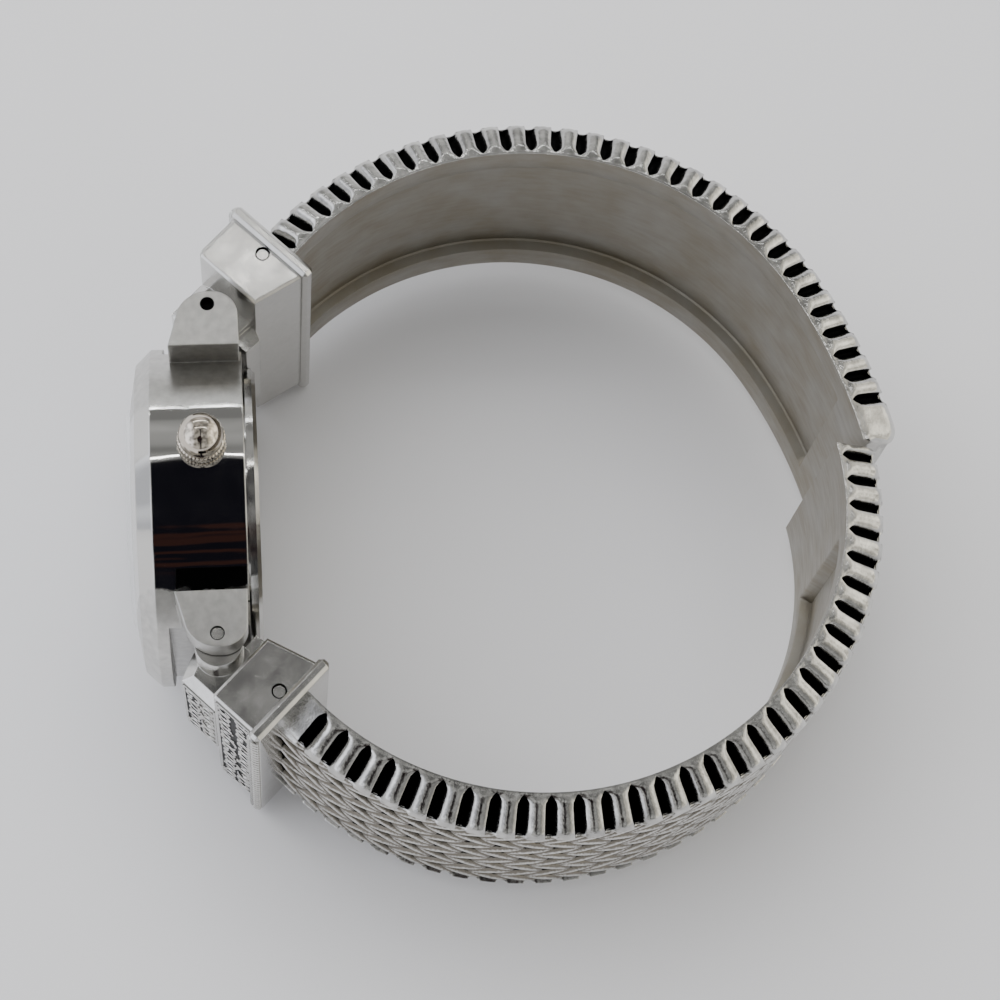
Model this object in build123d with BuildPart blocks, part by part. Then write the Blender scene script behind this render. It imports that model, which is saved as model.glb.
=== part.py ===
from build123d import *
import os
from math import acos, asin, cos, degrees, hypot, radians, sin, sqrt, tan

# Cuff watch lying on its side: a round watch case between two rigid bracelet halves.
# Millimetres. +Z is the bracelet's own axis with the crown uppermost, the dial faces -Y,
# 12 o'clock points to -X and 6 o'clock to +X. The origin is on the floor under the middle.

os.makedirs("parts", exist_ok=True)

# Fits
running_fit = 0.03  # radial clearance of parts that turn in one another
seat_gap = 0.05  # clearance of parts that are only laid or pushed in

# Case
case_diameter = 27.2
back_plate_thickness = 0.85
back_shadow_gap = 0.15
band_width = 7.2
bezel_rise = 1.7
crystal_proud = 0.4
bezel_land = 0.55
bezel_width_share = 0.3  # of its width and rise, at its bend
bezel_rise_share = 0.72
cavity_inset = 3.45  # of the cavity's wall from the case's side
cavity_ceiling_height = 7.9
window_inset = 1.35  # of the window's edge from the cavity's wall

# Crystal and its seat
crystal_overlap = 0.3  # over the window's edge
crystal_edge_thickness = 1.0

# Dial side
dial_bottom_height = 6.2
dial_thickness = 0.4
dial_hole_diameter = 2.4
dial_ring_inset = 0.5  # of its foot from the window's edge
marker_count = 12
marker_length = 1.7
marker_width = 0.45
marker_thickness = 0.25
marker_inset = 2.0  # of the markers' middles from the window's edge

# Hands, each on its own tube or pin, one inside the other
hour_hand_height = 7.0
hour_clock_angle = 304.5
minute_clock_angle = 54.0
second_clock_angle = 0.0
hand_step = 0.4
hand_thickness = 0.14
hour_hand_length_share = 0.5  # of the window's radius
hour_hand_width = 1.0
minute_hand_inset = 2.1  # of its tip from the window's edge
minute_hand_width = 0.8
second_hand_inset = 1.4
second_hand_width = 0.22
second_hand_tail = 2.4
second_pin_diameter = 0.4
hand_tube_wall = 0.22
hand_tube_depth = 1.3

# Movement
holder_wall = 1.2
movement_thickness = 3.6
movement_foot_height = 2.6
holder_foot_height = 2.35
battery_thickness = 1.65
battery_shares = (0.36, -0.45, 0.382)  # of the movement's radius: place across, up, and radius

# Case back
back_plate_inset = 1.8  # from the case's side
back_edge = 0.3
back_collar_height = 1.4
back_collar_wall = 0.8

# Crown
crown_offset = 1.8  # the stem runs beside the centre wheel, nearer to 12 o'clock
crown_height = 4.25
crown_diameter = 3.8
crown_skirt_height = 1.25
crown_dome_radius = 1.75
crown_lift = 0.05
crown_flutes = 20
crown_flute_depth = 0.15
crown_bore_diameter = 2.5
crown_bore_depth = 1.0
crown_pull_travel = 1.0
crown_tube_diameter = 1.9
crown_tube_bore = 1.2
crown_tube_stand = 0.9
stem_diameter = 0.9
stem_foot = 4.9
stem_bore_depth = 1.6

# Lugs
lug_inset = 0.5  # of the lug's outer face from the case's widest place
lug_root_inset = 3.75
lug_low_height = 1.15
lug_high_height = 6.65
lug_heel = (-0.6, -2.3)  # outline's turns, outward of the pin and towards the dial
lug_heel_bend = (0.68, -1.5)
lug_tip = (1.05, -0.1)
lug_shoulder_bend = (0.54, 1.5)
lug_shoulder = (-0.51, 2.34)
slot_side_inset = 3.15
slot_floor_inset = 2.35
slot_ceiling_height = 7.25
pin_inset = 0.34  # of the lug pin from the case's widest place
pin_height = 3.5
pin_diameter = 1.0
pin_recess = 0.15
worn_pin_recess = 1.2

# Hinge links, drawn in a plane at the lug pin that leans away from the case
link_angle = 45.0
knuckle_diameter = 3.7
knuckle_clearance = 0.25  # at each end, between the lugs
neck_inset = 3.2  # at each end, from the knuckle's end
neck_hip = 0.8  # bevel of the neck's outer ends
neck_outer_start = -0.8
neck_outer_face = -3.4
neck_nose = -1.6
neck_nose_face = -1.2
neck_inner_start = 0.8
neck_inner_face = 1.7
box_start = 2.83
box_end = 6.88
box_inset = 0.9  # at each end, from the lug's outer face
box_outer = -3.65
box_inner_near = 2.43
box_inner_far = 3.55
box_outer_corner = 0.3
box_inner_corner = 0.9
box_edge = 0.2
stop_inset = 4.0  # at each end, from the knuckle's end
stop_start = 0.95
stop_end = 2.45
stop_root = 1.4
stop_height = 3.25
stop_relief = 0.25
collar_thickness = 1.05
collar_outer = -4.12
collar_inner = 4.03
collar_inset = 0.2  # at each end, from the lug's outer face
collar_edge = 0.3
pocket_start = 4.2
cuff_pin_along = 6.3
cuff_pin_diameter = 1.0
cuff_pin_recess = 0.15

# Closing springs round the lug pins
spring_thickness = 0.25
spring_width = 3.4
spring_bend_diameter = 2.0
spring_notch_width = 4.0
spring_notch_reach = 1.3

# Cuff halves: two tangent arcs each, seen along the bracelet's axis
cuff_half_width = 26.2  # inside of the bracelet to its middle line, sideways
cuff_side_radius = 24.3
cuff_inner_offset = 1.55  # of the side arc from the middle of the link
end_overrun_angle = 2.0  # of the sweeps before their ends are cut
cuff_turn_angle = 60.5  # where the side arc meets the back arc
lower_back_radius = 22.0
upper_back_radius = 42.0
joint_x = -0.75
joint_gap = 0.2
cuff_inset = 1.64  # of each rim from the lug's outer face
cuff_thickness = 3.3
shoulder_drop = 1.63
border_width = 0.4
border_height = 0.35
channel_inset = 2.96  # of its sides from the rims
channel_depth = 1.0
channel_start = 1.9  # from the collar
lower_channel_margin = 7.0
upper_channel_margin = 4.5
tongue_inset = 1.96  # of its sides from the rims
tongue_thickness = 2.5
tongue_start = 4.3
tongue_end = 9.3
tongue_clearance = 0.1
flute_count = 30
flute_width = 1.1
flute_depth = 0.12
flute_strip = 0.5
flute_tilt = 7.0
upper_first_flute = 0.8
upper_last_flute = 3.4
lower_first_flute = 2.0
lower_last_flute = 1.0
upper_nose_radius = 1.5
lower_nose_radius = 0.35
bevel_length = 1.3
bevel_depth = 0.5

# Derived sizes
case_radius = case_diameter / 2
middle_z = case_radius
back_gap_height = back_plate_thickness + back_shadow_gap
band_top = back_gap_height + band_width
bezel_top = band_top + bezel_rise
case_thickness = bezel_top + crystal_proud
cavity_radius = case_radius - cavity_inset
window_radius = cavity_radius - window_inset
crystal_radius = window_radius + crystal_overlap
movement_radius = cavity_radius - seat_gap - holder_wall
battery_x, battery_y, battery_radius = (share * movement_radius for share in battery_shares)
back_plate_radius = case_radius - back_plate_inset
pin_radius = pin_diameter / 2
lug_half = case_radius - lug_inset
lug_root_x = case_radius - lug_root_inset
slot_floor_x = case_radius - slot_floor_inset
lug_turns = (lug_heel, lug_heel_bend, lug_tip, lug_shoulder_bend, lug_shoulder)
slot_half = case_radius - slot_side_inset
knuckle_half = slot_half - knuckle_clearance
box_half = lug_half - box_inset
collar_half = lug_half - collar_inset
cuff_half_height = lug_half - cuff_inset
tongue_half = cuff_half_height - tongue_inset
pin_x = case_radius - pin_inset
overrun = case_diameter  # of cutting tools past the metal they cut
turn = radians(cuff_turn_angle)
lean = radians(link_angle)
# Centre of the side arc, which runs on smoothly from the leaning link
cuff_centre_x = cuff_half_width - cuff_side_radius
pin_depth = case_thickness - pin_height
cuff_centre_depth = (pin_depth + (cuff_side_radius + cuff_inner_offset) / cos(lean)
                     + (cuff_centre_x - pin_x) * tan(lean))


def back_centre(back_radius):
    # of a back arc, from the middle line and from the crystal's top
    shift = back_radius - cuff_side_radius
    return cuff_centre_x - shift * cos(turn), cuff_centre_depth - shift * sin(turn)


def back_reach(back_radius, x, outward):
    # how far from the crystal's top a back arc lies at a given place across
    centre_x, centre_depth = back_centre(back_radius)
    return centre_depth + sqrt((back_radius + outward) ** 2 - (x - centre_x) ** 2)


lower_end_x = joint_x + joint_gap / 2
upper_end_x = joint_gap / 2 - joint_x  # of the half as drawn, before it is mirrored
collar_reach = box_end + collar_thickness
flute_length = 2 * cuff_thickness
overall_depth = back_reach(upper_back_radius, upper_end_x + upper_nose_radius, cuff_thickness)
front_y = -overall_depth / 2
back_y = front_y + case_thickness
pin_y = back_y - pin_height
# Angle of the side arc at the collar's face, seen from the arc's centre
centre_along = ((cuff_centre_x - pin_x) * cos(lean)
                + (front_y + cuff_centre_depth - pin_y) * sin(lean))
collar_angle = -lean - asin((centre_along - collar_reach) / cuff_side_radius)

# The watch lies on its back in this plane: local Z to the dial, local Y to the crown
watch = Plane(origin=(0, back_y, middle_z), x_dir=(1, 0, 0), z_dir=(0, -1, 0))
# Half sections and side outlines: local X across the watch, local Y towards the dial
section = Plane(origin=(0, back_y, middle_z), x_dir=(1, 0, 0), z_dir=(0, 0, -1))
watch_axis = Axis((0, back_y, middle_z), (0, -1, 0))
middle = Plane.XY.offset(middle_z)
crown_place = Plane(origin=(-crown_offset, back_y - crown_height, middle_z))


def keep(part, name):
    part.label = name
    export_step(part, "parts/" + name + ".step")


def lug_outline(side):
    heel, heel_bend, tip, shoulder_bend, shoulder = [
        (side * (pin_x + outward), pin_height + rise) for outward, rise in lug_turns]
    with BuildLine() as outline:
        ThreePointArc(heel, heel_bend, tip)
        ThreePointArc(tip, shoulder_bend, shoulder)
        Polyline(shoulder, (side * lug_root_x, lug_high_height),
                 (side * lug_root_x, lug_low_height), heel)
    make_face(outline.edges())


# Case: band, bezel and four lugs in one piece
with BuildPart() as case_body:
    seat_radius = crystal_radius + seat_gap
    seat_height = bezel_top - crystal_edge_thickness
    bezel_inner = seat_radius + bezel_land
    bezel_width = case_radius - bezel_inner
    with BuildSketch(section):
        with BuildLine():
            Polyline(
                (cavity_radius, back_gap_height),
                (case_radius, back_gap_height),
                (case_radius, band_top),
                (case_radius - bezel_width_share * bezel_width,
                 band_top + bezel_rise_share * bezel_rise),
                (bezel_inner, bezel_top),
                (seat_radius, bezel_top),
                (seat_radius, seat_height),
                (window_radius, seat_height),
                (window_radius, cavity_ceiling_height),
                (cavity_radius, cavity_ceiling_height),
                close=True,
            )
        make_face()
    revolve(axis=watch_axis)
    for side in (-1, 1):
        with BuildSketch(section):
            lug_outline(side)
        extrude(amount=lug_half, both=True)
    # Room between each pair of lugs for the link's knuckle
    with BuildSketch(section):
        with Locations((slot_floor_x + overrun / 2, slot_ceiling_height - overrun / 2),
                       (-slot_floor_x - overrun / 2, slot_ceiling_height - overrun / 2)):
            Rectangle(overrun, overrun)
    extrude(amount=slot_half, both=True, mode=Mode.SUBTRACT)
    # Movement cavity
    with BuildSketch(watch):
        Circle(cavity_radius)
    extrude(amount=cavity_ceiling_height, mode=Mode.SUBTRACT)
    # Pin holes through the lugs, and the hole for the crown tube
    with BuildSketch(section):
        with Locations((pin_x, pin_height), (-pin_x, pin_height)):
            Circle(pin_radius)
    extrude(amount=overrun, both=True, mode=Mode.SUBTRACT)
    with BuildSketch(crown_place):
        Circle(crown_tube_diameter / 2)
    extrude(amount=overrun, mode=Mode.SUBTRACT)
keep(case_body.part, "case_body")

# Crystal: a flat mineral glass with a bevelled edge that stands proud of the bezel
with BuildPart() as crystal:
    crystal_bottom = bezel_top - crystal_edge_thickness
    with BuildSketch(section):
        with BuildLine():
            Polyline((0, case_thickness), (0, crystal_bottom), (crystal_radius, crystal_bottom),
                     (crystal_radius, bezel_top), (crystal_radius - crystal_proud, case_thickness),
                     close=True)
        make_face()
    revolve(axis=watch_axis)
keep(crystal.part, "crystal")

# Dial, its applied hour bars and the sloped ring round it
dial_top = dial_bottom_height + dial_thickness
with BuildPart() as dial:
    with BuildSketch(watch.offset(dial_bottom_height)):
        Circle(cavity_radius - seat_gap)
        Circle(dial_hole_diameter / 2, mode=Mode.SUBTRACT)
    extrude(amount=dial_thickness)
keep(dial.part, "dial")

with BuildPart() as hour_markers:
    with BuildSketch(watch.offset(dial_top)):
        with PolarLocations(window_radius - marker_inset, marker_count):
            Rectangle(marker_length, marker_width)
    extrude(amount=marker_thickness)
keep(hour_markers.part, "hour_markers")

with BuildPart() as dial_ring:
    with BuildSketch(section):
        with BuildLine():
            Polyline(
                (window_radius - dial_ring_inset, dial_top),
                (cavity_radius - seat_gap, dial_top),
                (cavity_radius - seat_gap, cavity_ceiling_height),
                (window_radius, cavity_ceiling_height),
                close=True,
            )
        make_face()
    revolve(axis=watch_axis)
keep(dial_ring.part, "dial_ring")

# Hands: the second hand's pin turns in the minute tube, and that in the hour tube
minute_tube_radius = second_pin_diameter / 2 + running_fit + hand_tube_wall
hour_tube_radius = minute_tube_radius + running_fit + hand_tube_wall
tube_foot = dial_bottom_height - hand_tube_depth
minute_hand_height = hour_hand_height + hand_step
second_hand_height = minute_hand_height + hand_step


def hand_plane(height, clock_angle):
    # local Y points to the given clock angle, with 12 o'clock at -X and 3 o'clock at +Z
    angle = radians(clock_angle)
    return Plane(origin=watch.offset(height).origin, x_dir=(sin(angle), 0, cos(angle)),
                 z_dir=watch.z_dir)


def leaf_outline(length, width):
    # a slim leaf with its widest place at a third of its length
    with BuildLine() as outline:
        Polyline((-width / 4, 0), (-width / 2, length / 3), (0, length), (width / 2, length / 3),
                 (width / 4, 0), close=True)
    make_face(outline.edges())


with BuildPart() as hour_hand:
    with BuildSketch(hand_plane(hour_hand_height, hour_clock_angle)):
        leaf_outline(hour_hand_length_share * window_radius, hour_hand_width)
        Circle(hour_tube_radius)
    extrude(amount=hand_thickness)
    with BuildSketch(watch.offset(tube_foot)):
        Circle(hour_tube_radius)
    extrude(amount=hour_hand_height - tube_foot)
    with BuildSketch(watch.offset(tube_foot)):
        Circle(minute_tube_radius + running_fit)
    extrude(amount=overrun, mode=Mode.SUBTRACT)
keep(hour_hand.part, "hour_hand")

with BuildPart() as minute_hand:
    with BuildSketch(hand_plane(minute_hand_height, minute_clock_angle)):
        leaf_outline(window_radius - minute_hand_inset, minute_hand_width)
        Circle(minute_tube_radius)
    extrude(amount=hand_thickness)
    with BuildSketch(watch.offset(tube_foot)):
        Circle(minute_tube_radius)
    extrude(amount=minute_hand_height - tube_foot)
    with BuildSketch(watch.offset(tube_foot)):
        Circle(second_pin_diameter / 2 + running_fit)
    extrude(amount=overrun, mode=Mode.SUBTRACT)
keep(minute_hand.part, "minute_hand")

with BuildPart() as second_hand:
    second_hand_length = window_radius - second_hand_inset
    with BuildSketch(hand_plane(second_hand_height, second_clock_angle)):
        Circle(second_pin_diameter / 2)
        with Locations((0, (second_hand_length - second_hand_tail) / 2)):
            Rectangle(second_hand_width, second_hand_length + second_hand_tail)
    extrude(amount=hand_thickness)
    with BuildSketch(watch.offset(tube_foot)):
        Circle(second_pin_diameter / 2)
    extrude(amount=second_hand_height - tube_foot)
keep(second_hand.part, "second_hand")

# Movement with the bore for the hands, the bore for the stem and the battery's pocket
stem_radius = stem_diameter / 2
with BuildPart() as movement:
    with BuildSketch(watch.offset(movement_foot_height)):
        Circle(movement_radius)
    extrude(amount=movement_thickness)
    with BuildSketch(watch.offset(movement_foot_height)):
        with Locations((battery_x, battery_y)):
            Circle(battery_radius + seat_gap)
    extrude(amount=battery_thickness + seat_gap, mode=Mode.SUBTRACT)
    with BuildSketch(watch.offset(tube_foot - seat_gap)):
        Circle(hour_tube_radius + running_fit)
    extrude(amount=overrun, mode=Mode.SUBTRACT)
    with BuildSketch(crown_place.offset(stem_foot - seat_gap)):
        Circle(stem_radius + running_fit)
    extrude(amount=overrun, mode=Mode.SUBTRACT)
keep(movement.part, "movement")

with BuildPart() as movement_holder:
    with BuildSketch(watch.offset(holder_foot_height)):
        Circle(cavity_radius - seat_gap)
        Circle(movement_radius + seat_gap, mode=Mode.SUBTRACT)
    extrude(amount=dial_bottom_height - holder_foot_height)
    with BuildSketch(crown_place):
        Circle(stem_radius + seat_gap)
    extrude(amount=overrun, mode=Mode.SUBTRACT)
keep(movement_holder.part, "movement_holder")

with BuildPart() as battery:
    with BuildSketch(watch.offset(movement_foot_height + seat_gap)):
        with Locations((battery_x, battery_y)):
            Circle(battery_radius)
    extrude(amount=battery_thickness - seat_gap)
keep(battery.part, "battery")

# Case back pressed into the cavity by its collar
with BuildPart() as case_back:
    with BuildSketch(watch):
        Circle(back_plate_radius)
    extrude(amount=back_plate_thickness)
    chamfer(case_back.faces().sort_by(Axis.Y)[-1].edges(), length=back_edge)
    with BuildSketch(watch.offset(back_plate_thickness)):
        Circle(cavity_radius - seat_gap)
        Circle(cavity_radius - seat_gap - back_collar_wall, mode=Mode.SUBTRACT)
    extrude(amount=back_collar_height)
keep(case_back.part, "case_back")

# Crown: a coin-edged skirt under a ball, bored to pass over the tube in the case
crown_foot = case_radius + crown_lift
tube_foot_z = cavity_radius + seat_gap
crown_tube_top = case_radius + crown_tube_stand
with BuildPart() as crown_tube:
    with BuildSketch(crown_place.offset(tube_foot_z)):
        Circle(crown_tube_diameter / 2)
        Circle(crown_tube_bore / 2, mode=Mode.SUBTRACT)
    extrude(amount=crown_tube_top - tube_foot_z)
keep(crown_tube.part, "crown_tube")

with BuildPart() as crown:
    crown_side = Plane(origin=crown_place.origin, x_dir=(1, 0, 0), z_dir=(0, -1, 0))
    skirt_top = crown_foot + crown_skirt_height
    with BuildSketch(crown_side):
        with BuildLine():
            Polyline(
                (0, skirt_top + crown_dome_radius),
                (0, crown_foot),
                (crown_diameter / 2, crown_foot),
                (crown_diameter / 2, skirt_top),
                (crown_dome_radius, skirt_top),
            )
            CenterArc((0, skirt_top), crown_dome_radius, 0, 90)
        make_face()
    revolve(axis=Axis(crown_place.origin, (0, 0, 1)))
    with BuildSketch(crown_place.offset(crown_foot)):
        with PolarLocations(crown_diameter / 2, crown_flutes):
            Rectangle(2 * crown_flute_depth, 2 * crown_flute_depth, rotation=45)
    extrude(amount=crown_skirt_height, mode=Mode.SUBTRACT)
    with BuildSketch(crown_place.offset(crown_foot)):
        Circle(crown_bore_diameter / 2)
    extrude(amount=crown_bore_depth, mode=Mode.SUBTRACT)
    with BuildSketch(crown_place.offset(crown_foot)):
        Circle(stem_radius)
    extrude(amount=stem_bore_depth, mode=Mode.SUBTRACT)
keep(crown.part, "crown")

with BuildPart() as winding_stem:
    with BuildSketch(crown_place.offset(stem_foot)):
        Circle(stem_radius)
    extrude(amount=crown_foot + stem_bore_depth - stem_foot)
keep(winding_stem.part, "winding_stem")

# The hinge side at 6 o'clock is drawn; the one at 12 o'clock mirrors it
link = Plane(
    origin=(pin_x, pin_y, middle_z),
    x_dir=(cos(radians(link_angle)), sin(radians(link_angle)), 0),
    z_dir=(0, 0, 1),
)


def across_link(along):
    # upright plane square to the link, its local X towards the wrist and its local Y up
    return Plane(origin=link.from_local_coords((along, 0, 0)), x_dir=link.y_dir, z_dir=link.x_dir)


with BuildPart() as lug_pin_6:
    with BuildSketch(Plane(origin=(pin_x, pin_y, middle_z))):
        Circle(pin_radius)
    extrude(amount=lug_half - pin_recess, both=True)
keep(lug_pin_6.part, "lug_pin_6")

# The pin at 12 o'clock has crept inwards a little on the crown's side
with BuildPart() as lug_pin_12:
    with BuildSketch(Plane(origin=(-pin_x, pin_y, middle_z - lug_half + pin_recess))):
        Circle(pin_radius)
    extrude(amount=2 * lug_half - pin_recess - worn_pin_recess)
keep(lug_pin_12.part, "lug_pin_12")

with BuildPart() as end_link_6:
    # Collar that frames the cuff's end
    with BuildSketch(across_link(box_end)):
        with Locations(((collar_inner + collar_outer) / 2, 0)):
            Rectangle(collar_inner - collar_outer, 2 * collar_half)
    extrude(amount=collar_thickness)
    chamfer(end_link_6.edges(), length=collar_edge)
    # Neck between box and knuckle, its outer face hipped at both ends
    neck_half = knuckle_half - neck_inset
    with BuildSketch(link):
        with BuildLine():
            Polyline((box_start + box_inner_corner, box_outer + box_edge),
                     (neck_outer_start, neck_outer_face),
                     (neck_nose, neck_nose_face), (neck_inner_start, neck_inner_face),
                     (box_start + box_inner_corner, neck_inner_face + box_edge), close=True)
        make_face()
    extrude(amount=neck_half, both=True)
    hip_edges = end_link_6.edges().filter_by(
        lambda e: abs(abs(e.center().Z - middle_z) - neck_half) < seat_gap
        and link.to_local_coords(e.center()).Y < neck_nose_face)
    chamfer(hip_edges, length=neck_hip)
    # Box between collar and knuckle
    with BuildSketch(link):
        with BuildLine():
            Polyline((box_end + collar_edge, box_outer), (box_start, box_outer),
                     (box_start, box_inner_near), (box_end, box_inner_far),
                     (box_end + collar_edge, box_inner_far), close=True)
        make_face()
        corners = vertices().sort_by(Axis.X)[:2].sort_by(Axis.Y)
        fillet(corners[0], radius=box_outer_corner)
        fillet(corners[1], radius=box_inner_corner)
    extrude(amount=box_half, both=True)
    box_edges = end_link_6.edges().filter_by(
        lambda e: abs(abs(e.center().Z - middle_z) - box_half) < seat_gap
        and link.to_local_coords(e.center()).X < box_end - seat_gap)
    chamfer(box_edges, length=box_edge)
    # Knuckle round the lug pin
    with BuildSketch(link):
        Circle(knuckle_diameter / 2)
    extrude(amount=knuckle_half, both=True)
    # Lip that rests against the case back when the cuff is shut
    with BuildSketch(link):
        with BuildLine():
            Polyline((stop_start, stop_root), (stop_start, stop_height - 2 * seat_gap),
                     (stop_end, stop_height), (stop_end + box_inner_corner, stop_root), close=True)
        make_face()
    extrude(amount=knuckle_half - stop_inset, both=True)
    with BuildSketch(watch.offset(-stop_relief)):
        Circle(back_plate_radius + stop_relief)
    extrude(amount=pin_height, mode=Mode.SUBTRACT)
    # Bore for the lug pin, notch for the spring, pocket and pin hole for the cuff
    with BuildSketch(link):
        Circle(pin_radius + running_fit)
        with Locations((cuff_pin_along, 0)):
            Circle(cuff_pin_diameter / 2)
    extrude(amount=overrun, both=True, mode=Mode.SUBTRACT)
    with BuildSketch(link):
        with Locations((spring_notch_reach, -spring_notch_reach)):
            Rectangle(overrun, overrun, align=(Align.MAX, Align.MIN))
    extrude(amount=spring_notch_width / 2, both=True, mode=Mode.SUBTRACT)
    with BuildSketch(across_link(pocket_start)):
        Rectangle(tongue_thickness + 2 * tongue_clearance, 2 * (tongue_half + tongue_clearance))
    extrude(amount=overrun, mode=Mode.SUBTRACT)
keep(end_link_6.part, "end_link_6")

with BuildPart() as end_link_12:
    add(end_link_6.part)
    mirror(about=Plane.YZ, mode=Mode.REPLACE)
keep(end_link_12.part, "end_link_12")

with BuildPart() as closing_spring_6:
    # a strip bent round the pin, both legs running to the floor of the slot in the case
    bend = spring_bend_diameter / 2
    leg_end = slot_floor_x + seat_gap - pin_x
    with BuildSketch(Plane(origin=(pin_x, pin_y, middle_z))):
        with BuildLine():
            outer = ThreePointArc((0, -bend), (bend, 0), (0, bend))
            Polyline(outer @ 1, (leg_end, bend), (leg_end, bend - spring_thickness),
                     (0, bend - spring_thickness))
            inner = ThreePointArc((0, bend - spring_thickness), (bend - spring_thickness, 0),
                                  (0, spring_thickness - bend))
            Polyline(inner @ 1, (leg_end, spring_thickness - bend), (leg_end, -bend), (0, -bend))
        make_face()
    extrude(amount=spring_width / 2, both=True)
keep(closing_spring_6.part, "closing_spring_6")

with BuildPart() as closing_spring_12:
    add(closing_spring_6.part)
    mirror(about=Plane.YZ, mode=Mode.REPLACE)
keep(closing_spring_12.part, "closing_spring_12")

with BuildPart() as cuff_pin_6:
    with BuildSketch(link):
        with Locations((cuff_pin_along, 0)):
            Circle(cuff_pin_diameter / 2)
    extrude(amount=box_half - cuff_pin_recess, both=True)
keep(cuff_pin_6.part, "cuff_pin_6")

with BuildPart() as cuff_pin_12:
    add(cuff_pin_6.part)
    mirror(about=Plane.YZ, mode=Mode.REPLACE)
keep(cuff_pin_12.part, "cuff_pin_12")


# Cuff halves
def arc_axis(centre_x, centre_depth, upward):
    return Axis((centre_x, front_y + centre_depth, middle_z), (0, 0, upward))


def radial_plane(centre_x, centre_depth, radius, angle):
    # on the inner curve, local X pointing out of the bracelet and local Y up
    out = (cos(angle), sin(angle), 0)
    origin = (centre_x + radius * out[0], front_y + centre_depth + radius * out[1], middle_z)
    return Plane(origin=origin, x_dir=out, z_dir=(out[1], -out[0], 0))


def end_angle(back_radius, end_x):
    return acos((end_x - back_centre(back_radius)[0]) / back_radius)


def inner_curve_plane(back_radius, distance):
    # at a distance along the inner curve from the collar
    side_length = cuff_side_radius * (turn - collar_angle)
    if distance < side_length:
        angle = collar_angle + distance / cuff_side_radius
        return radial_plane(cuff_centre_x, cuff_centre_depth, cuff_side_radius, angle)
    centre_x, centre_depth = back_centre(back_radius)
    angle = turn + (distance - side_length) / back_radius
    return radial_plane(centre_x, centre_depth, back_radius, angle)


def flute_plane(back_radius, distance, up):
    # origin at a flute's inner end, local Z running outward and down the rim's shoulder
    at = inner_curve_plane(back_radius, distance)
    slope = hypot(cuff_thickness, shoulder_drop)
    along = at.x_dir * (cuff_thickness / slope) + at.y_dir * (-up * shoulder_drop / slope)
    away = at.x_dir * (shoulder_drop / slope) + at.y_dir * (up * cuff_thickness / slope)
    edge = at.origin + at.y_dir * (up * cuff_half_height)
    origin = edge + along * flute_strip - away * flute_depth
    tilt = radians(flute_tilt)
    return Plane(origin=origin, x_dir=at.z_dir * up, z_dir=along * cos(tilt) - away * sin(tilt))


def rim_section():
    # shoulders at both rims, and between them the bed that the plait lies in
    border = cuff_half_height - shoulder_drop
    bed = border - border_width
    floor = cuff_thickness - border_height
    with BuildLine() as outline:
        Polyline((0, -cuff_half_height), (0, cuff_half_height), (cuff_thickness, border),
                 (floor, bed), (floor, -bed), (cuff_thickness, -border), close=True)
    make_face(outline.edges())


def cuff_half(back_radius, end_x, first_flute, last_flute, channel_margin, nose_radius):
    centre_x, centre_depth = back_centre(back_radius)
    back_angle = end_angle(back_radius, end_x) - turn
    meeting = radial_plane(cuff_centre_x, cuff_centre_depth, cuff_side_radius, turn)
    side_axis = arc_axis(cuff_centre_x, cuff_centre_depth, -1)
    back_axis = arc_axis(centre_x, centre_depth, 1)
    with BuildSketch(meeting) as rim:
        rim_section()
    side_angle = turn - collar_angle
    revolve(rim.sketch, axis=side_axis, revolution_arc=degrees(side_angle) + end_overrun_angle)
    revolve(rim.sketch, axis=back_axis, revolution_arc=degrees(back_angle) + end_overrun_angle)
    # Shallow channel along the wrist side
    with BuildSketch(meeting) as channel:
        Rectangle(2 * channel_depth, 2 * (cuff_half_height - channel_inset))
    side_channel = degrees(side_angle - channel_start / cuff_side_radius)
    back_channel = degrees(back_angle - channel_margin / back_radius)
    revolve(channel.sketch, axis=side_axis, revolution_arc=side_channel, mode=Mode.SUBTRACT)
    revolve(channel.sketch, axis=back_axis, revolution_arc=back_channel, mode=Mode.SUBTRACT)
    # Flutes across both rims
    length = cuff_side_radius * side_angle + back_radius * back_angle
    pitch = (length - first_flute - last_flute) / (flute_count - 1)
    places = [flute_plane(back_radius, first_flute + index * pitch, up)
              for index in range(flute_count) for up in (-1, 1)]
    with Locations(*places):
        Box(flute_width, cuff_thickness, flute_length, align=(Align.CENTER, Align.MAX, Align.MIN),
            mode=Mode.SUBTRACT)
    # Ends: flat at the joint with a rounded outer corner, and square to the collar
    split(bisect_by=Plane(origin=(end_x, 0, 0), z_dir=(1, 0, 0)), keep=Keep.TOP)
    outer_y = front_y + back_reach(back_radius, end_x + nose_radius, cuff_thickness)
    with BuildSketch(middle) as nose:
        with Locations((end_x, outer_y)):
            Rectangle(nose_radius, nose_radius, align=(Align.MIN, Align.MAX))
            Rectangle(nose_radius, nose_radius, align=(Align.MIN, Align.MIN))
        with Locations((end_x + nose_radius, outer_y - nose_radius)):
            Circle(nose_radius, mode=Mode.SUBTRACT)
    extrude(nose.sketch, amount=overrun, both=True, mode=Mode.SUBTRACT)
    split(bisect_by=across_link(collar_reach + seat_gap), keep=Keep.TOP)
    # Tongue that the cuff pin holds in the end link
    with BuildSketch(across_link(tongue_start)) as tongue:
        Rectangle(tongue_thickness, 2 * tongue_half)
    extrude(tongue.sketch, amount=tongue_end - tongue_start)
    with BuildSketch(link) as pin_hole:
        with Locations((cuff_pin_along, 0)):
            Circle(cuff_pin_diameter / 2)
    extrude(pin_hole.sketch, amount=overrun, both=True, mode=Mode.SUBTRACT)


with BuildPart() as cuff_lower:
    cuff_half(lower_back_radius, lower_end_x, lower_first_flute, lower_last_flute,
              lower_channel_margin, lower_nose_radius)
keep(cuff_lower.part, "cuff_lower")

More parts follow.
